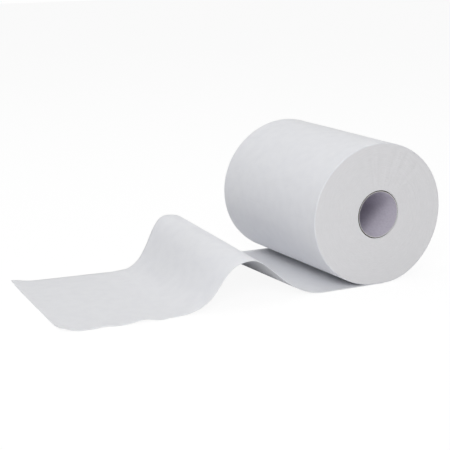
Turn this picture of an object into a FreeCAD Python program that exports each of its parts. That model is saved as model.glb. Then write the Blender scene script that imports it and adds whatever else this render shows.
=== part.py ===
import FreeCAD, Part
import math
import os

# A soft paper towel roll lying on its side, with the free end of its web pulled out over the surface.
# The origin is on the roll's axis, midway along it. +Y runs along the axis, +Z is up,
# and the free end lies towards -X. All sizes are in millimetres.

# The paper web, and the slightly squashed roll that it is wound into
WEB_WIDTH = 180.0
WEB_THICKNESS = 0.4
ROLL_WIDTH = 152.0
ROLL_TOP_HEIGHT = 72.2
AXIS_HEIGHT = 72.2
FLAT_SPOT_WIDTH = 18.0
RIM_BEVEL = 1.8

# The outline of each quarter is two tangent arcs, which meet this many degrees above or below level
UPPER_MEETING_ANGLE = 38.1
LOWER_MEETING_ANGLE = 61.2

# The board tube in the middle, flush with the paper at both ends
CORE_OUTER_DIAMETER = 49.0
CORE_WALL = 1.0

# The turns that show on both ends, as one spiral groove between the core and the rim
TURN_PITCH = 6.0
TURN_MARGIN = 3.0
GROOVE_WIDTH = 1.8
GROOVE_DEPTH = 0.5
GROOVE_OVERRUN = 0.25

# The free end: it leaves the flat spot along the surface, lifts off under the roll's side, rises in a
# hump that is higher at the back, comes down again and lies flat to its straight cut edge.
# Setback and distances are measured from the roll's side, heights from the surface, and drifts from
# the middle of the roll towards +Y.
LIFT_SETBACK = 13.2
LIFT_DRIFT = 0.8
FRONT_CREST_DISTANCE = 73.7
BACK_CREST_DISTANCE = 71.7
FRONT_CREST_HEIGHT = 43.8
BACK_CREST_HEIGHT = 53.9
CREST_DRIFT = -2.7
FRONT_LANDING_DISTANCE = 156.3
BACK_LANDING_DISTANCE = 127.9
LANDING_DRIFT = -2.4
FRONT_CUT_DISTANCE = 263.7
BACK_CUT_DISTANCE = 242.6
CUT_DRIFT = 9.0

# How far the edges of the free end keep close to level, going into and out of each bend
FRONT_LIFT_REACH = 42.6
FRONT_RISE_REACH = 21.5
FRONT_FALL_REACH = 43.8
FRONT_LANDING_REACH = 55.2
BACK_LIFT_REACH = 62.5
BACK_RISE_REACH = 44.6
BACK_FALL_REACH = 24.6
BACK_LANDING_REACH = 34.1

# Each curved stretch of the free end is drawn as this many panels
HUMP_PANELS = 8

# Faces whose edges lie this close are joined
SEAM_TOLERANCE = 0.001

half_web = WEB_WIDTH / 2
half_roll = ROLL_WIDTH / 2
half_flat = FLAT_SPOT_WIDTH / 2
core_radius = CORE_OUTER_DIAMETER / 2
bore_radius = core_radius - CORE_WALL
axis = FreeCAD.Vector(0, 1, 0)


def vector(x, y, z):
    return FreeCAD.Vector(x, y, z)


def cubic(points):
    curve = Part.BezierCurve()
    curve.setPoles(points)
    return curve


def tube(radius, y_start, length):
    return Part.makeCylinder(radius, length, vector(0, y_start, 0), axis)


def core_tube():
    """The board tube that the web is wound on."""
    return tube(core_radius, -half_web, WEB_WIDTH).cut(tube(bore_radius, -half_web, WEB_WIDTH))


def quarter_outline(y, meeting, half_level, height, right, up):
    """A quarter of the roll's outline: an arc at its side, then a tangent arc that levels out."""
    width = half_roll - half_level
    sine = math.sin(meeting)
    cosine = math.cos(meeting)
    side_radius = (height * cosine - width * (1 - sine)) / (sine + cosine - 1)
    level_radius = (width * sine - height * (1 - cosine)) / (sine + cosine - 1)
    edges = []
    for center_x, center_z, radius, start, end in (
        (half_roll - side_radius, 0, side_radius, 0, meeting),
        (half_level, height - level_radius, level_radius, meeting, math.pi / 2),
    ):
        points = []
        for angle in (start, (start + end) / 2, end):
            x = center_x + radius * math.cos(angle)
            z = center_z + radius * math.sin(angle)
            points.append(vector(right * x, y, up * z))
        edges.append(Part.Arc(*points).toShape())
    return edges


def roll_section(y):
    """The roll's outline: an oval of tangent arcs, with the flat spot that it rests on."""
    flat = [vector(side * half_flat, y, -AXIS_HEIGHT) for side in (-1, 1)]
    edges = [Part.makeLine(*flat)]
    upper_meeting = math.radians(UPPER_MEETING_ANGLE)
    lower_meeting = math.radians(LOWER_MEETING_ANGLE)
    for right in (-1, 1):
        edges += quarter_outline(y, upper_meeting, 0, ROLL_TOP_HEIGHT, right, 1)
        edges += quarter_outline(y, lower_meeting, half_flat, AXIS_HEIGHT, right, -1)
    return Part.Wire(Part.__sortEdges__(edges))


def turn_groove():
    """The spiral that parts the turns on the front end, as the solids of its half turns to cut away."""
    room = half_roll - core_radius - RIM_BEVEL - 2 * TURN_MARGIN
    turns = int(room / TURN_PITCH)
    lip = GROOVE_WIDTH / 2 * (1 + GROOVE_OVERRUN / GROOVE_DEPTH)
    outside = -half_web - GROOVE_OVERRUN
    half_turns = []
    for count in range(2 * turns):
        side = 1 if count % 2 == 0 else -1
        radius = core_radius + TURN_MARGIN + TURN_PITCH * count / 2
        center_z = -side * TURN_PITCH / 4
        start_z = center_z + side * radius
        profile = Part.makePolygon([
            vector(0, outside, start_z - lip),
            vector(0, -half_web + GROOVE_DEPTH, start_z),
            vector(0, outside, start_z + lip),
            vector(0, outside, start_z - lip),
        ])
        half_turns.append(Part.Face(profile).revolve(vector(0, 0, center_z), axis, 180))
    return half_turns


def wound_roll():
    """The turns as one block with bevelled rims and grooved ends, open where the core goes through."""
    block = Part.Face(roll_section(-half_web)).extrude(axis * WEB_WIDTH)
    rims = [edge for edge in block.Edges if edge.BoundBox.YLength < SEAM_TOLERANCE]
    front_grooves = turn_groove()
    back_grooves = [groove.mirror(vector(0, 0, 0), axis) for groove in front_grooves]
    bore = tube(core_radius, -half_web, WEB_WIDTH)
    return block.makeChamfer(RIM_BEVEL, rims).cut([bore] + front_grooves + back_grooves)


def closed_solid(faces):
    """The solid inside a set of faces that meet edge to edge."""
    shell = Part.Shell(faces)
    shell.sewShape(SEAM_TOLERANCE)
    solid = Part.Solid(shell)
    if solid.Volume < 0:
        solid.reverse()
    return solid


def web_corners(front_distance, back_distance, front_height, back_height, drift):
    """The two ends of one line straight across the web, at its full width."""
    x_front = -half_roll - front_distance
    x_back = -half_roll - back_distance
    slant = math.hypot(x_front - x_back, front_height - back_height)
    half_across = math.sqrt(WEB_WIDTH ** 2 - slant ** 2) / 2
    front = vector(x_front, drift - half_across, front_height - AXIS_HEIGHT)
    back = vector(x_back, drift + half_across, back_height - AXIS_HEIGHT)
    return front, back


def straight_poles(start, end):
    third = (end - start) / 3
    return [start, start + third, end - third, end]


def web_edge(start, lift, crest, landing, cut, reaches):
    """The four stretches of one long edge's underside, each as the poles of a cubic curve."""
    lift_reach, rise_reach, fall_reach, landing_reach = reaches
    leaving = vector(*(lift - start)).normalize()
    crossing = vector(landing.x - lift.x, landing.y - lift.y, 0).normalize()
    arriving = vector(*(cut - landing)).normalize()
    return [
        straight_poles(start, lift),
        [lift, lift + leaving * lift_reach, crest - crossing * rise_reach, crest],
        [crest, crest + crossing * fall_reach, landing - arriving * landing_reach, landing],
        straight_poles(landing, cut),
    ]


def upper_poles(poles):
    """The same stretch one sheet thickness higher, measured square to its slope."""
    middle = (poles[3] + poles[2]) - (poles[1] + poles[0])
    slope = math.atan2(middle.z, math.hypot(middle.x, middle.y))
    up = vector(0, 0, WEB_THICKNESS)
    back = vector(4 / 3 * WEB_THICKNESS * math.tan(slope / 2), 0, 0)
    return [poles[0] + up, poles[1] + up + back, poles[2] + up + back, poles[3] + up]


def panel_edge(poles, panels, index):
    curve = cubic(poles)
    curve.segment(index / panels, (index + 1) / panels)
    return curve.toShape()


def free_end():
    """The pulled-out stretch of the web, one sheet thick."""
    starts = [vector(half_flat, side * half_web, -AXIS_HEIGHT) for side in (-1, 1)]
    lifts = [vector(LIFT_SETBACK - half_roll, start.y + LIFT_DRIFT, -AXIS_HEIGHT) for start in starts]
    crests = web_corners(
        FRONT_CREST_DISTANCE, BACK_CREST_DISTANCE, FRONT_CREST_HEIGHT, BACK_CREST_HEIGHT, CREST_DRIFT
    )
    landings = web_corners(FRONT_LANDING_DISTANCE, BACK_LANDING_DISTANCE, 0, 0, LANDING_DRIFT)
    cuts = web_corners(FRONT_CUT_DISTANCE, BACK_CUT_DISTANCE, 0, 0, CUT_DRIFT)
    reaches = [
        (FRONT_LIFT_REACH, FRONT_RISE_REACH, FRONT_FALL_REACH, FRONT_LANDING_REACH),
        (BACK_LIFT_REACH, BACK_RISE_REACH, BACK_FALL_REACH, BACK_LANDING_REACH),
    ]
    edges = [web_edge(starts[i], lifts[i], crests[i], landings[i], cuts[i], reaches[i]) for i in (0, 1)]
    faces = []
    loops = []
    for front, back, panels in zip(edges[0], edges[1], (1, HUMP_PANELS, HUMP_PANELS, 1)):
        around = [front, back, upper_poles(back), upper_poles(front)]
        for index in range(panels):
            lines = [panel_edge(poles, panels, index) for poles in around]
            faces += [Part.makeRuledSurface(lines[i - 1], lines[i]) for i in range(4)]
            loops.append(lines)
    for lines, end in ((loops[0], 0), (loops[-1], -1)):
        corners = [line.valueAt(line.FirstParameter if end == 0 else line.LastParameter) for line in lines]
        faces.append(Part.Face(Part.makePolygon(corners + corners[:1])))
    return closed_solid(faces)


def towel_web():
    """The whole web in one piece: the wound turns and the free end that leaves them at the flat spot."""
    return wound_roll().fuse(free_end())


os.makedirs("parts", exist_ok=True)
for name, shape in (("core_tube", core_tube()), ("towel_web", towel_web())):
    solid = shape.Solids[0]
    box = solid.BoundBox
    print(name, "solids", len(shape.Solids), "valid", shape.isValid(), "volume", round(shape.Volume),
          "x", round(box.XMin, 2), round(box.XMax, 2), "y", round(box.YMin, 2), round(box.YMax, 2),
          "z", round(box.ZMin, 2), round(box.ZMax, 2))
    shape.exportStep("parts/" + name + ".step")
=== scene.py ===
"""A soft paper towel roll on its side, with the free end of its web pulled out over the surface.

Lengths are in metres. The roll's axis is Y, +Z is up, and the free end lies towards -X.
"""
import math

import bpy
import numpy as np
from mathutils import Matrix, Vector, noise


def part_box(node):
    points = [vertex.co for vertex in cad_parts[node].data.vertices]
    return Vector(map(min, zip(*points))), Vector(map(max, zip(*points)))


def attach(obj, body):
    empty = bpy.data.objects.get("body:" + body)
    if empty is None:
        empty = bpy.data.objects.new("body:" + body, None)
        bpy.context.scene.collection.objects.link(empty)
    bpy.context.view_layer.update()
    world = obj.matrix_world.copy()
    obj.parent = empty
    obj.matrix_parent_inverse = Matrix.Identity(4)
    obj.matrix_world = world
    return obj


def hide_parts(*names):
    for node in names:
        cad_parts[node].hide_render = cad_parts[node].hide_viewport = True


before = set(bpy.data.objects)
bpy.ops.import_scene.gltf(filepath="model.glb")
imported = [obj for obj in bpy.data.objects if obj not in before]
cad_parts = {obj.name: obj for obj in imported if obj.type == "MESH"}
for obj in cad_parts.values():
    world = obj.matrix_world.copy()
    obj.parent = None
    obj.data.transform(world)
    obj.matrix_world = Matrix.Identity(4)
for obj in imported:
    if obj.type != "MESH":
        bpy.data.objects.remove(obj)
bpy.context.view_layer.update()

MM = 0.001

# Sizes read from the frame
core_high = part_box("core_tube")[1]
web_low, web_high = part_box("towel_web")
CORE_RADIUS = core_high.z
HALF_WEB = core_high.y
WEB_WIDTH = 2 * HALF_WEB
HALF_ROLL = web_high.x
TOP_HEIGHT = web_high.z
FLOOR = web_low.z

# The roll's outline: side arcs that hand over to flatter arcs this far from level. The roll leans
# over its flat spot, so its lower right side is fuller than its lower left side.
UPPER_MEETING = math.radians(38.1)
LOWER_LEFT_MEETING = math.radians(38.1)
LOWER_RIGHT_MEETING = math.radians(61.2)

# How far the flat spot reaches to the left and right of the axis
FLAT_LEFT = 1.0 * MM
FLAT_RIGHT = 9.0 * MM

# The thickness of one sheet, and the radius of the roll's rims
SHEET = 0.4 * MM
RIM_ROUND = 1.2 * MM

# The soft unevenness of the roll's side: its height, and how quickly it changes around and along
SIDE_SOFTNESS = 0.35 * MM
SOFTNESS_AROUND = 2.2
SOFTNESS_ALONG = 14

# The turns that show on the ends: their relief, how round each one is, and how their levels vary from
# turn to turn, from a start, and from side to side
TURNS_SHOWN = 24
TURN_RELIEF = 0.10 * MM
TURN_ROUNDNESS = 0.6
TURN_UNEVENNESS = 0.16 * MM
TURN_VARIETY = (7.3, 1.7, 0.4)

# The creases that fan out over the ends: how quickly they change around and outwards. They are deepest
# near the top of the front end and near the bottom of the back end, both turned a little, and keep this
# least share of their depth on the other side.
CREASE_RELIEF = 0.4 * MM
CREASES_AROUND = 9
CREASES_OUTWARD = 14
FINE_CREASE_RELIEF = 0.36 * MM
FINE_CREASES_AROUND = 26
FINE_CREASES_OUTWARD = 20
CREASE_TURN = math.radians(10)
LEAST_CREASE = 0.35

# The board tube: its wall, how far its cut edge and the lip of its inner ply lie below the paper's ends,
# the lip's width, how far and how deep the mouth is pressed inwards, and the paper's gap around the tube
CORE_WALL = 1.0 * MM
BOARD_RECESS = 1.4 * MM
LIP_RECESS = 0.2 * MM
LIP_WIDTH = 0.45 * MM
BURR = 0.45 * MM
BURR_DEPTH = 2.5 * MM
PAPER_FIT = 0.05 * MM

# The tube's materials, by their number
BOARD, LINER, LIP = range(3)

# The free end starts under the roll at this X, and lifts off this far inside the roll's left side, where
# it has already shifted a little towards +Y
WEB_START = 9.0 * MM
LIFT_SETBACK = 13.2 * MM
LIFT_DRIFT = 0.8 * MM

# Its further lines across the web: distances from the roll's side, heights, and a shift towards +Y
CREST = {"distances": (72.7 * MM, 71.9 * MM), "heights": (43.8 * MM, 52.9 * MM), "drift": -2.7 * MM}
LANDING = {"distances": (156.3 * MM, 121.4 * MM), "heights": (0, 0), "drift": -2.4 * MM}
CUT = {"distances": (263.7 * MM, 243.4 * MM), "heights": (0, 0), "drift": 9.0 * MM}

# How far each edge keeps its direction at the lift, rise, fall and landing, front edge first, and how
# steeply each edge comes down at its landing
REACHES = (
    (42.6 * MM, 21.5 * MM, 41.5 * MM, 58.5 * MM),
    (62.5 * MM, 44.6 * MM, 21.5 * MM, 28.7 * MM),
)
LANDING_TILTS = (0.0, math.radians(14))

# Small lifts of the flat stretch: share along it, side (0 front, 1 back), height and width, and how
# much further than that width each lift reaches across the web
EDGE_LIFTS = (
    (0.27, 0.0, 2.9 * MM, 12 * MM),
    (0.62, 0.0, 1.1 * MM, 8 * MM),
    (1.0, 0.0, 3.0 * MM, 9 * MM),
    (1.0, 1.0, 1.5 * MM, 12 * MM),
)
LIFT_ACROSS = 1.6

# The flat stretch sways towards the front between its ends, over this share of it at each end
SWAY = 4.5 * MM
SWAY_EASE = 0.14
FRONT_CORNER_ROUND = 3.5 * MM

# Soft waves of the sheet: their height, how quickly they change along X and Y, and which waves they are.
# On the flat stretch they grow over the first third, on the hump over this height above the surface.
FLAT_WAVE = 0.2 * MM
FLAT_WAVES = (26, 17, 3.1)
FLAT_WAVE_GROWTH = 3
HUMP_WAVE = 0.5 * MM
HUMP_WAVES = (20, 13, 8.4)
HUMP_WAVE_HEIGHT = 10 * MM

# Mesh steps, and how much closer the rows lie near the cut edge
FACE_RINGS = 104
RIM_STEPS = 6
SIDE_STEPS = 56
BORE_STEPS = 10
OUTLINE_STEPS = 248
FLAT_STEPS = 4
STRETCH_STEPS = (14, 62, 62, 60)
WEB_COLUMNS = 72
CUT_CROWDING = 1.5
TUBE_SEGMENTS = 160
TUBE_STEPS = 40

# Colours, each with its darker partner. The lip's partner is the liner's colour.
PAPER_COLOR = (0.84, 0.848, 0.88)
PAPER_SHADE = (0.815, 0.823, 0.857)
END_COLOR = (0.83, 0.827, 0.845)
END_SHADE = (0.795, 0.792, 0.81)
# The board's dark brown is painted near black. Part of that darkness is painted shade of the recess
# between the paper and the tube at the mouth.
BOARD_AND_RECESS_SHADE_COLOR = (0.04, 0.03, 0.028)
BOARD_AND_RECESS_SHADE_DARKER = (0.02, 0.015, 0.014)
LINER_COLOR = (0.765, 0.735, 0.82)
LINER_SHADE = (0.69, 0.66, 0.745)
LIP_COLOR = (0.93, 0.91, 0.88)

# How far light goes into the paper, which lets a single sheet glow through
PAPER_DEPTH = 0.45 * MM

# The seam that winds along the inner ply: how often it comes, and the wave level above which it shows
SEAM_PACE = 2.2
SEAM_LEVEL = 0.995

# The surround's light from all sides, and what it adds in front of the roll and behind it
FILL_GLOW = 0.13
FRONT_GLOW = 0.46
BACK_GLOW = 0.48

# Round soft lamps that face the origin: name, place, width and watts
LAMPS = (
    ("overhead", (0.1, 0.2, 1.5), 1.6, 6.8),
    ("overhead_left", (-0.75, 0.1, 1.35), 1.2, 2.7),
    ("left_front", (-1.0, -1.3, 1.0), 0.6, 10.5),
)

# The floor lies a little below the roll. Its own colour lights the roll and takes its shadow, and to the
# eye FLOOR_SHOW of it is plain glow.
FLOOR_SIZE = 8.0
FLOOR_GAP = 0.1 * MM
FLOOR_COLOR = 0.93
FLOOR_GLOW = 1.04
FLOOR_SHOW = 0.88

# The photograph's viewpoint: place in metres, and the lens in millimetres for the sensor's width
CAMERA_PLACE = (-0.7758, -1.1567, 0.2979)
CAMERA_YAW = math.radians(-29.354)
CAMERA_PITCH = math.radians(13.257)
CAMERA_LENS = 107.59
SENSOR_WIDTH = 36


def link(obj):
    bpy.context.scene.collection.objects.link(obj)
    return obj


def mesh_piece(name, points, faces, places, materials, material_of=None):
    """A smooth mesh with a stored place on the paper for each point."""
    mesh = bpy.data.meshes.new(name)
    mesh.from_pydata([tuple(point) for point in points], [], faces)
    mesh.polygons.foreach_set("use_smooth", [True] * len(mesh.polygons))
    for material in materials:
        mesh.materials.append(material)
    if material_of is not None:
        mesh.polygons.foreach_set("material_index", material_of)
    stored = mesh.attributes.new("place", "FLOAT_VECTOR", "POINT")
    stored.data.foreach_set("vector", np.asarray(places, np.float32).ravel())
    mesh.validate()
    mesh.update()
    return link(bpy.data.objects.new(name, mesh))


def grid_faces(rows, columns, closed):
    """Quads between neighbouring rows and columns of a grid of points, closed both ways or open."""
    faces = []
    for row in range(rows if closed else rows - 1):
        for column in range(columns if closed else columns - 1):
            next_row = (row + 1) % rows
            next_column = (column + 1) % columns
            faces.append((
                row * columns + column,
                row * columns + next_column,
                next_row * columns + next_column,
                next_row * columns + column,
            ))
    return faces


def quarter(half_level, height, meeting):
    """A quarter outline's two tangent arcs, as the centre and radius of the side arc and level arc."""
    width = HALF_ROLL - half_level
    sine = math.sin(meeting)
    cosine = math.cos(meeting)
    side_radius = (height * cosine - width * (1 - sine)) / (sine + cosine - 1)
    level_radius = (width * sine - height * (1 - cosine)) / (sine + cosine - 1)
    return (HALF_ROLL - side_radius, 0, side_radius), (half_level, height - level_radius, level_radius)


def outline():
    """Points and outward normals around the roll's section, from the flat spot's left end to the right."""
    upper = (UPPER_MEETING, quarter(0, TOP_HEIGHT, UPPER_MEETING))
    quarters = {
        (1, 1): upper,
        (-1, 1): upper,
        (1, -1): (LOWER_RIGHT_MEETING, quarter(FLAT_RIGHT, -FLOOR, LOWER_RIGHT_MEETING)),
        (-1, -1): (LOWER_LEFT_MEETING, quarter(FLAT_LEFT, -FLOOR, LOWER_LEFT_MEETING)),
    }
    columns = []
    for step in range(1, FLAT_STEPS):
        columns.append((-FLAT_LEFT + (FLAT_LEFT + FLAT_RIGHT) * step / FLAT_STEPS, FLOOR, 0.0, -1.0))
    for step in range(OUTLINE_STEPS + 1):
        angle = -math.pi / 2 + 2 * math.pi * step / OUTLINE_STEPS
        normal_x = math.cos(angle)
        normal_z = math.sin(angle)
        right = 1 if step <= OUTLINE_STEPS / 2 else -1
        up = 1 if 0 <= angle <= math.pi else -1
        meeting, arcs = quarters[right, up]
        steep = math.atan2(abs(normal_z), abs(normal_x))
        center_x, center_z, radius = arcs[0] if steep <= meeting else arcs[1]
        x = right * center_x + radius * normal_x
        z = up * center_z + radius * normal_z
        columns.append((x, z, normal_x, normal_z))
    return np.array(columns)


def around(angle, pace, other):
    """A random level from -1 to 1 that changes at this pace around the axis, and with the other value."""
    return noise.noise(Vector((math.cos(angle) * pace, other, math.sin(angle) * pace)))


def fanned(angle, pace, outward):
    """A random level from -1 to 1 whose changes fan out from the axis."""
    return noise.noise(Vector((math.cos(angle) * pace, math.sin(angle) * pace, outward)))


def end_relief(share, angle, radius):
    """How far an end of the roll stands out at one point: its turns, and creases that fan out."""
    turn = share * TURNS_SHOWN - angle / (2 * math.pi)
    whole = math.floor(turn)
    ridge = math.sin(math.pi * (turn - whole)) ** TURN_ROUNDNESS
    per_turn, start, per_side = TURN_VARIETY
    level = noise.noise(Vector((whole * per_turn, start, math.cos(angle) * per_side)))
    crease = fanned(angle, CREASES_AROUND, radius * CREASES_OUTWARD)
    fine_crease = fanned(angle, FINE_CREASES_AROUND, radius * FINE_CREASES_OUTWARD)
    topness = max(0.0, math.sin(angle + CREASE_TURN)) ** 2
    creases = CREASE_RELIEF * crease + FINE_CREASE_RELIEF * fine_crease
    creases *= LEAST_CREASE + (1 - LEAST_CREASE) * topness
    fade = math.sqrt(math.sin(math.pi * share))
    return (TURN_RELIEF * ridge + TURN_UNEVENNESS * level + creases) * fade


def y_at(depth, back):
    """The Y of a depth below the front end, or below the back end."""
    return HALF_WEB - depth if back else depth - HALF_WEB


def roll_point(kind, share, column, angle, back):
    """One point of the roll's skin and its place on the paper, for the front half or the back half.

    The flat spot stays one sheet above the surface, because the roll lies on its own web.
    """
    x, z, normal_x, normal_z = column
    bore = CORE_RADIUS + PAPER_FIT
    if kind == "end":
        outer_x = x - normal_x * RIM_ROUND
        outer_z = z - normal_z * RIM_ROUND
        px = bore * math.cos(angle) * (1 - share) + outer_x * share
        pz = bore * math.sin(angle) * (1 - share) + outer_z * share
        radius = math.hypot(px, pz)
        depth = -end_relief(share, -angle if back else angle, radius)
        place = (radius, angle, 1.0)
    elif kind == "rim":
        turn = math.pi / 2 * share
        inset = RIM_ROUND * (1 - math.sin(turn))
        px = x - normal_x * inset
        pz = z - normal_z * inset
        depth = RIM_ROUND * (1 - math.cos(turn))
        place = (angle * HALF_ROLL, depth, 0.0)
    elif kind == "side":
        depth = RIM_ROUND + (WEB_WIDTH - 2 * RIM_ROUND) * share
        y = y_at(depth, back)
        softness = SIDE_SOFTNESS * around(angle, SOFTNESS_AROUND, y * SOFTNESS_ALONG)
        px = x + normal_x * softness
        pz = z + normal_z * softness
        place = (angle * HALF_ROLL, y, 0.0)
    else:
        px = bore * math.cos(angle)
        pz = bore * math.sin(angle)
        depth = WEB_WIDTH * share
        place = (angle * bore, depth, 0.0)
    return (px, y_at(depth, back), max(pz, FLOOR + SHEET)), place


def wound_roll(paper, ends):
    """The turns: front end, rounded rim, side, rim, back end and bore, as one closed skin.

    The rings of the front half are laid out once, and the back half repeats them in reverse.
    """
    section = outline()
    polar = np.arctan2(section[:, 1], section[:, 0])
    front = [("end", step / FACE_RINGS) for step in range(FACE_RINGS + 1)]
    front += [("rim", step / RIM_STEPS) for step in range(1, RIM_STEPS + 1)]
    front += [("side", step / SIDE_STEPS) for step in range(1, SIDE_STEPS // 2 + 1)]
    rings = [(kind, share, False) for kind, share in front]
    rings += [(kind, share, True) for kind, share in reversed(front[:-1])]
    rings += [("bore", step / BORE_STEPS, True) for step in range(1, BORE_STEPS)]
    points = []
    places = []
    for kind, share, back in rings:
        for column, angle in zip(section, polar):
            point, place = roll_point(kind, share, column, angle, back)
            points.append(point)
            places.append(place)
    faces = grid_faces(len(rings), len(section), True)
    material_of = [1 if kind == "end" else 0 for kind, _, _ in rings for _ in section]
    return mesh_piece("wound_roll", points, faces, places, [paper, ends], material_of)


def web_corners(line):
    """The front and back ends of a line straight across the web, at its full width."""
    x_front, x_back = [-HALF_ROLL - distance for distance in line["distances"]]
    front_height, back_height = line["heights"]
    slant = math.hypot(x_front - x_back, front_height - back_height)
    half_across = math.sqrt(WEB_WIDTH ** 2 - slant ** 2) / 2
    return (
        np.array([x_front, line["drift"] - half_across, FLOOR + front_height]),
        np.array([x_back, line["drift"] + half_across, FLOOR + back_height]),
    )


def unit(direction):
    return direction / np.linalg.norm(direction)


def edge_stretches(side):
    """The four stretches of one long edge of the free end, each as four poles of a cubic curve."""
    edge_y = (-HALF_WEB, HALF_WEB)[side]
    start = np.array([WEB_START, edge_y, FLOOR])
    lift = np.array([LIFT_SETBACK - HALF_ROLL, edge_y + LIFT_DRIFT, FLOOR])
    crest, landing, cut = [web_corners(line)[side] for line in (CREST, LANDING, CUT)]
    lift_reach, rise_reach, fall_reach, landing_reach = REACHES[side]
    leaving = unit(lift - start)
    crossing = unit((landing - lift) * np.array([1, 1, 0]))
    arriving = unit(cut - landing)
    tilt = LANDING_TILTS[side]
    steeply = arriving * math.cos(tilt) - np.array([0, 0, math.sin(tilt)])
    return (
        (start, start + (lift - start) / 3, lift - (lift - start) / 3, lift),
        (lift, lift + leaving * lift_reach, crest - crossing * rise_reach, crest),
        (crest, crest + crossing * fall_reach, landing - steeply * landing_reach, landing),
        (landing, landing + (cut - landing) / 3, cut - (cut - landing) / 3, cut),
    )


def cubic_point(poles, t):
    """A point of the cubic curve with these four poles, at a share of its course."""
    a, b, c, d = poles
    return (1 - t) ** 3 * a + 3 * (1 - t) ** 2 * t * b + 3 * (1 - t) * t * t * c + t ** 3 * d


def smooth_share(value):
    """0 to 1, easing in and out."""
    value = min(1.0, max(0.0, value))
    return value * value * (3 - 2 * value)


def wave_at(point, waves):
    """The level of the sheet's soft waves at a point, from -1 to 1."""
    pace_x, pace_y, which = waves
    return noise.noise(Vector((point[0] * pace_x, point[1] * pace_y, which)))


def flat_point(front, back, along, column):
    """A point of the flat stretch: it sways a little, its front corner is round, and its edges lift."""
    flat_length = CUT["distances"][0] - LANDING["distances"][0]
    from_cut = min(1.0, (1 - along) * flat_length / FRONT_CORNER_ROUND)
    corner = FRONT_CORNER_ROUND * (1 - math.sqrt(1 - (1 - from_cut) ** 2)) / WEB_WIDTH
    across = corner + (1 - corner) * column / WEB_COLUMNS
    point = front + (back - front) * across
    point[1] -= SWAY * smooth_share(along / SWAY_EASE) * smooth_share((1 - along) / SWAY_EASE)
    for share, side, rise, width in EDGE_LIFTS:
        gap_along = (along - share) * flat_length / width
        gap_across = (across - side) * WEB_WIDTH / (LIFT_ACROSS * width)
        point[2] += rise * math.exp(-gap_along ** 2 - gap_across ** 2)
    point[2] += FLAT_WAVE * max(0, wave_at(point, FLAT_WAVES)) * min(1, FLAT_WAVE_GROWTH * along)
    return point


def raised_point(front, back, column):
    """A point of the stretch from the roll over the hump, with soft waves where it hangs free."""
    point = front + (back - front) * column / WEB_COLUMNS
    point[2] += HUMP_WAVE * wave_at(point, HUMP_WAVES) * min(1, (point[2] - FLOOR) / HUMP_WAVE_HEIGHT)
    return point


def sheet_underside():
    """The underside of the free end, as a grid of points from under the roll to the cut edge."""
    front_edge = edge_stretches(0)
    back_edge = edge_stretches(1)
    rows = []
    for index, steps in enumerate(STRETCH_STEPS):
        flat = index == len(STRETCH_STEPS) - 1
        for step in range(0 if index == 0 else 1, steps + 1):
            t = step / steps
            if flat:
                t = 1 - (1 - t) ** CUT_CROWDING
            front = cubic_point(front_edge[index], t)
            back = cubic_point(back_edge[index], t)
            columns = range(WEB_COLUMNS + 1)
            if flat:
                rows.append([flat_point(front, back, t, column) for column in columns])
            else:
                rows.append([raised_point(front, back, column) for column in columns])
    return np.array(rows)


def free_end(paper):
    """The pulled-out stretch of the web, one sheet thick, and its length along the middle."""
    under = sheet_underside()
    rows, columns = under.shape[:2]
    normals = np.cross(np.gradient(under, axis=1), np.gradient(under, axis=0))
    normals /= np.linalg.norm(normals, axis=2, keepdims=True)
    normals *= np.where(normals[:, :, 2:3] < 0, -1, 1)
    upper = under + normals * SHEET
    middle = (under + upper)[:, WEB_COLUMNS // 2] / 2
    steps = np.linalg.norm(np.diff(middle, axis=0), axis=1)
    travelled = np.concatenate([[0], np.cumsum(steps)])
    place = np.zeros((rows, columns, 3))
    place[:, :, 0] = travelled[:, None]
    place[:, :, 1] = np.linspace(-HALF_WEB, HALF_WEB, columns)[None, :]
    points = np.concatenate([upper.reshape(-1, 3), under.reshape(-1, 3)])
    places = np.concatenate([place.reshape(-1, 3)] * 2)
    offset = rows * columns
    faces = grid_faces(rows, columns, False)
    faces += [tuple(offset + corner for corner in reversed(face)) for face in faces]
    border = list(range(columns))
    border += [row * columns + columns - 1 for row in range(1, rows)]
    border += [(rows - 1) * columns + column for column in range(columns - 2, -1, -1)]
    border += [row * columns for row in range(rows - 2, 0, -1)]
    for here, there in zip(border, border[1:] + border[:1]):
        faces.append((there, here, offset + here, offset + there))
    return mesh_piece("free_end", points, faces, places, [paper]), float(travelled[-1])


def core_tube(board, liner, lip):
    """The board tube: a dark cut edge painted near black, partly as painted shade of the recess at its
    mouth, a pale inner ply whose lip is pressed inwards, and the bore.

    Each band between two rings takes the material that comes first in BOARD, LINER, LIP.
    """
    inner = CORE_RADIUS - CORE_WALL
    lip_inner = inner - BURR
    board_y = HALF_WEB - BOARD_RECESS
    lip_y = HALF_WEB - LIP_RECESS
    mouth = [
        (CORE_RADIUS, board_y, BOARD),
        (lip_inner + LIP_WIDTH, board_y, BOARD),
        (lip_inner + LIP_WIDTH, lip_y, LIP),
        (lip_inner + LIP_WIDTH / 2, lip_y + LIP_WIDTH / 4, LIP),
        (lip_inner, lip_y, LIP),
        (lip_inner + BURR / 3, lip_y - BURR_DEPTH / 4, LINER),
        (inner, lip_y - BURR_DEPTH, LINER),
    ]
    straight = mouth[-1][1]
    profile = [(radius, -y, kind) for radius, y, kind in mouth]
    for step in range(1, TUBE_STEPS):
        profile.append((inner, straight * (2 * step / TUBE_STEPS - 1), LINER))
    profile += reversed(mouth)
    points = []
    places = []
    for radius, y, _ in profile:
        for segment in range(TUBE_SEGMENTS):
            angle = 2 * math.pi * segment / TUBE_SEGMENTS
            points.append((radius * math.cos(angle), y, radius * math.sin(angle)))
            places.append((angle * radius, y, radius))
    faces = grid_faces(len(profile), TUBE_SEGMENTS, True)
    material_of = []
    for here, there in zip(profile, profile[1:] + profile[:1]):
        material_of += [min(here[2], there[2])] * TUBE_SEGMENTS
    return mesh_piece("board_core", points, faces, places, [board, liner, lip], material_of)


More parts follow.
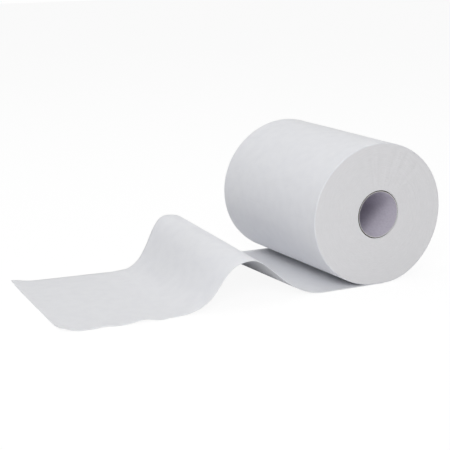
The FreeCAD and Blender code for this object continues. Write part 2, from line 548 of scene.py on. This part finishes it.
class Shader:
    """A short way to add and join the nodes of one material."""

    def __init__(self, name, color, roughness, specular):
        self.material = bpy.data.materials.new(name)
        self.material.use_nodes = True
        self.nodes = self.material.node_tree.nodes
        self.links = self.material.node_tree.links
        self.surface = self.nodes["Principled BSDF"]
        self.surface.inputs["Base Color"].default_value = (*color, 1)
        self.surface.inputs["Roughness"].default_value = roughness
        self.surface.inputs["Specular IOR Level"].default_value = specular

    def glow_through(self, depth):
        """Light goes this far into the surface before it leaves again."""
        self.surface.inputs["Subsurface Weight"].default_value = 1
        self.surface.inputs["Subsurface Radius"].default_value = (1, 1, 1)
        self.surface.inputs["Subsurface Scale"].default_value = depth

    def add(self, kind, **settings):
        """A new node with these settings."""
        node = self.nodes.new(kind)
        for name, value in settings.items():
            setattr(node, name, value)
        return node

    def place(self, scale):
        """The stored place on the paper, stretched by a scale along each of its directions."""
        stored = self.add("ShaderNodeAttribute", attribute_name="place")
        stretch = self.add("ShaderNodeMapping")
        stretch.inputs["Scale"].default_value = scale
        self.links.new(stored.outputs["Vector"], stretch.inputs["Vector"])
        return stretch.outputs["Vector"]

    def noise(self, vector, scale, detail):
        """The level of a noise texture, 0 to 1."""
        texture = self.add("ShaderNodeTexNoise")
        texture.inputs["Scale"].default_value = scale
        texture.inputs["Detail"].default_value = detail
        self.links.new(vector, texture.inputs["Vector"])
        return texture.outputs["Fac"]

    def bump(self, height, strength, distance, below=None):
        """A fine relief of the surface, on top of the one below it."""
        node = self.add("ShaderNodeBump")
        node.inputs["Strength"].default_value = strength
        node.inputs["Distance"].default_value = distance
        self.links.new(height, node.inputs["Height"])
        if below is not None:
            self.links.new(below, node.inputs["Normal"])
        self.links.new(node.outputs["Normal"], self.surface.inputs["Normal"])
        return node.outputs["Normal"]

    def color_between(self, factor, low, high, start, end):
        """The surface's colour, from low to high as the factor goes from start to end."""
        ramp = self.add("ShaderNodeValToRGB")
        ramp.color_ramp.elements[0].position = start
        ramp.color_ramp.elements[0].color = (*low, 1)
        ramp.color_ramp.elements[1].position = end
        ramp.color_ramp.elements[1].color = (*high, 1)
        self.links.new(factor, ramp.inputs["Fac"])
        self.links.new(ramp.outputs["Color"], self.surface.inputs["Base Color"])


def towel_paper():
    """Soft white paper with fine crepe lines across the web and a faint mottle."""
    paper = Shader("towel_paper", PAPER_COLOR, roughness=0.95, specular=0.15)
    paper.glow_through(PAPER_DEPTH)
    mottle = paper.noise(paper.place((1, 1, 1)), scale=90, detail=4)
    paper.color_between(mottle, PAPER_SHADE, PAPER_COLOR, start=0.3, end=0.62)
    soft = paper.noise(paper.place((1, 0.8, 1)), scale=220, detail=2)
    crepe = paper.noise(paper.place((1, 0.22, 1)), scale=1500, detail=3)
    below = paper.bump(soft, strength=0.35, distance=0.25 * MM)
    paper.bump(crepe, strength=0.5, distance=0.12 * MM, below=below)
    return paper.material


def towel_ends():
    """The cut edges of the turns: fine rings, and streaks that fan out from the core."""
    ends = Shader("towel_ends", END_COLOR, roughness=0.97, specular=0.1)
    rings = ends.noise(ends.place((1, 0.004, 1)), scale=1600, detail=3)
    ends.color_between(rings, END_SHADE, END_COLOR, start=0.3, end=0.6)
    fan = ends.noise(ends.place((1, 1, 1)), scale=17, detail=3)
    below = ends.bump(rings, strength=0.5, distance=0.2 * MM)
    ends.bump(fan, strength=0.35, distance=0.6 * MM, below=below)
    return ends.material


def core_board():
    """Dark brown board with its plies, seen at the tube's cut edge, painted near black partly as painted
    shade of the recess at the tube's mouth.
    """
    board = Shader("core_board", BOARD_AND_RECESS_SHADE_COLOR, roughness=0.9, specular=0.2)
    plies = board.noise(board.place((1, 1, 9)), scale=700, detail=3)
    board.color_between(plies, BOARD_AND_RECESS_SHADE_DARKER, BOARD_AND_RECESS_SHADE_COLOR, start=0.3, end=0.7)
    board.bump(plies, strength=0.4, distance=0.2 * MM)
    return board.material


def core_liner():
    """The tube's pale inner ply, with fibres and the faint seam that winds along it."""
    liner = Shader("core_liner", LINER_COLOR, roughness=0.85, specular=0.25)
    fibres = liner.noise(liner.place((1, 0.5, 1)), scale=500, detail=4)
    liner.color_between(fibres, LINER_SHADE, LINER_COLOR, start=0.3, end=0.65)
    below = liner.bump(fibres, strength=0.25, distance=0.12 * MM)
    seam = liner.add("ShaderNodeTexWave", wave_profile="SIN")
    seam.inputs["Scale"].default_value = SEAM_PACE
    liner.links.new(liner.place((1, 1.7, 0)), seam.inputs["Vector"])
    narrow = liner.add("ShaderNodeMath", operation="GREATER_THAN")
    narrow.inputs[1].default_value = SEAM_LEVEL
    liner.links.new(seam.outputs["Fac"], narrow.inputs[0])
    liner.bump(narrow.outputs["Value"], strength=0.3, distance=-0.15 * MM, below=below)
    return liner.material


def core_lip():
    """The cream cut edge of the inner ply."""
    lip = Shader("core_lip", LIP_COLOR, roughness=0.9, specular=0.2)
    fibres = lip.noise(lip.place((1, 1, 1)), scale=900, detail=3)
    lip.color_between(fibres, LINER_COLOR, LIP_COLOR, start=0.25, end=0.5)
    lip.bump(fibres, strength=0.3, distance=0.1 * MM)
    return lip.material


def is_seen_directly(nodes, links):
    """1 for rays from the eye and for rays that mirror or pass through, else 0."""
    path = nodes.new("ShaderNodeLightPath")
    seen = path.outputs["Is Camera Ray"]
    for kind in ("Is Glossy Ray", "Is Transmission Ray"):
        either = nodes.new("ShaderNodeMath")
        either.operation = "MAXIMUM"
        links.new(seen, either.inputs[0])
        links.new(path.outputs[kind], either.inputs[1])
        seen = either.outputs["Value"]
    return seen


def white_world():
    """A white surround that lights the roll softly from all sides, and most from front and back."""
    world = bpy.data.worlds.new("studio")
    bpy.context.scene.world = world
    world.use_nodes = True
    nodes, links = world.node_tree.nodes, world.node_tree.links
    background = nodes["Background"]
    background.inputs["Color"].default_value = (1, 1, 1, 1)
    direction = nodes.new("ShaderNodeTexCoord")
    parts = nodes.new("ShaderNodeSeparateXYZ")
    links.new(direction.outputs["Generated"], parts.inputs["Vector"])
    glow = nodes.new("ShaderNodeMath")
    glow.operation = "ADD"
    for socket, furthest_y, amount in ((0, -1, FRONT_GLOW), (1, 1, BACK_GLOW)):
        side = nodes.new("ShaderNodeMapRange")
        side.inputs["From Max"].default_value = furthest_y
        side.inputs["To Min"].default_value = FILL_GLOW / 2
        side.inputs["To Max"].default_value = FILL_GLOW / 2 + amount
        links.new(parts.outputs["Y"], side.inputs["Value"])
        links.new(side.outputs["Result"], glow.inputs[socket])
    strength = nodes.new("ShaderNodeMix")
    links.new(is_seen_directly(nodes, links), strength.inputs["Factor"])
    links.new(glow.outputs["Value"], strength.inputs["A"])
    strength.inputs["B"].default_value = 1
    links.new(strength.outputs["Result"], background.inputs["Strength"])


def pale_floor():
    """A plain floor that shows as white and keeps a light shadow of the roll."""
    half = FLOOR_SIZE / 2
    level = FLOOR - FLOOR_GAP
    mesh = bpy.data.meshes.new("floor")
    corners = [(-half, -half, level), (half, -half, level), (half, half, level), (-half, half, level)]
    mesh.from_pydata(corners, [], [(0, 1, 2, 3)])
    floor = link(bpy.data.objects.new("floor", mesh))
    material = bpy.data.materials.new("floor")
    material.use_nodes = True
    nodes, links = material.node_tree.nodes, material.node_tree.links
    nodes.clear()
    diffuse = nodes.new("ShaderNodeBsdfDiffuse")
    diffuse.inputs["Color"].default_value = (FLOOR_COLOR, FLOOR_COLOR, FLOOR_COLOR, 1)
    glow = nodes.new("ShaderNodeEmission")
    glow.inputs["Strength"].default_value = FLOOR_GLOW
    share = nodes.new("ShaderNodeMath")
    share.operation = "MULTIPLY"
    share.inputs[1].default_value = FLOOR_SHOW
    links.new(is_seen_directly(nodes, links), share.inputs[0])
    mix = nodes.new("ShaderNodeMixShader")
    links.new(share.outputs["Value"], mix.inputs["Fac"])
    links.new(diffuse.outputs["BSDF"], mix.inputs[1])
    links.new(glow.outputs["Emission"], mix.inputs[2])
    output = nodes.new("ShaderNodeOutputMaterial")
    links.new(mix.outputs["Shader"], output.inputs["Surface"])
    mesh.materials.append(material)


def soft_light(name, place, size, watts):
    """A round lamp at a place, which faces the origin."""
    data = bpy.data.lights.new(name, "AREA")
    data.shape = "DISK"
    data.size = size
    data.energy = watts
    lamp = link(bpy.data.objects.new(name, data))
    lamp.location = place
    lamp.rotation_euler = (-Vector(place)).to_track_quat("-Z", "Y").to_euler()


def camera():
    """The photograph's viewpoint, in front of the roll and to its left, a little above it."""
    level = math.cos(CAMERA_PITCH)
    back = Vector((math.sin(CAMERA_YAW) * level, -math.cos(CAMERA_YAW) * level, math.sin(CAMERA_PITCH)))
    right = Vector((0, 0, 1)).cross(back).normalized()
    up = back.cross(right)
    data = bpy.data.cameras.new("camera")
    data.sensor_width = SENSOR_WIDTH
    data.lens = CAMERA_LENS
    seen = link(bpy.data.objects.new("camera", data))
    seen.matrix_world = Matrix.Translation(CAMERA_PLACE) @ Matrix((right, up, back)).transposed().to_4x4()
    bpy.context.scene.camera = seen


bpy.context.scene.view_settings.view_transform = "Standard"
paper = towel_paper()
roll = wound_roll(paper, towel_ends())
sheet, sheet_length = free_end(paper)
core = core_tube(core_board(), core_liner(), core_lip())
for piece, node, slot in (
    (roll, "towel_web", "towel_paper"),
    (sheet, "towel_web", "towel_paper"),
    (core, "core_tube", "core_board"),
):
    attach(piece, "root")
    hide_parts(node)

white_world()
pale_floor()
for name, place, size, watts in LAMPS:
    soft_light(name, place, size, watts)
camera()
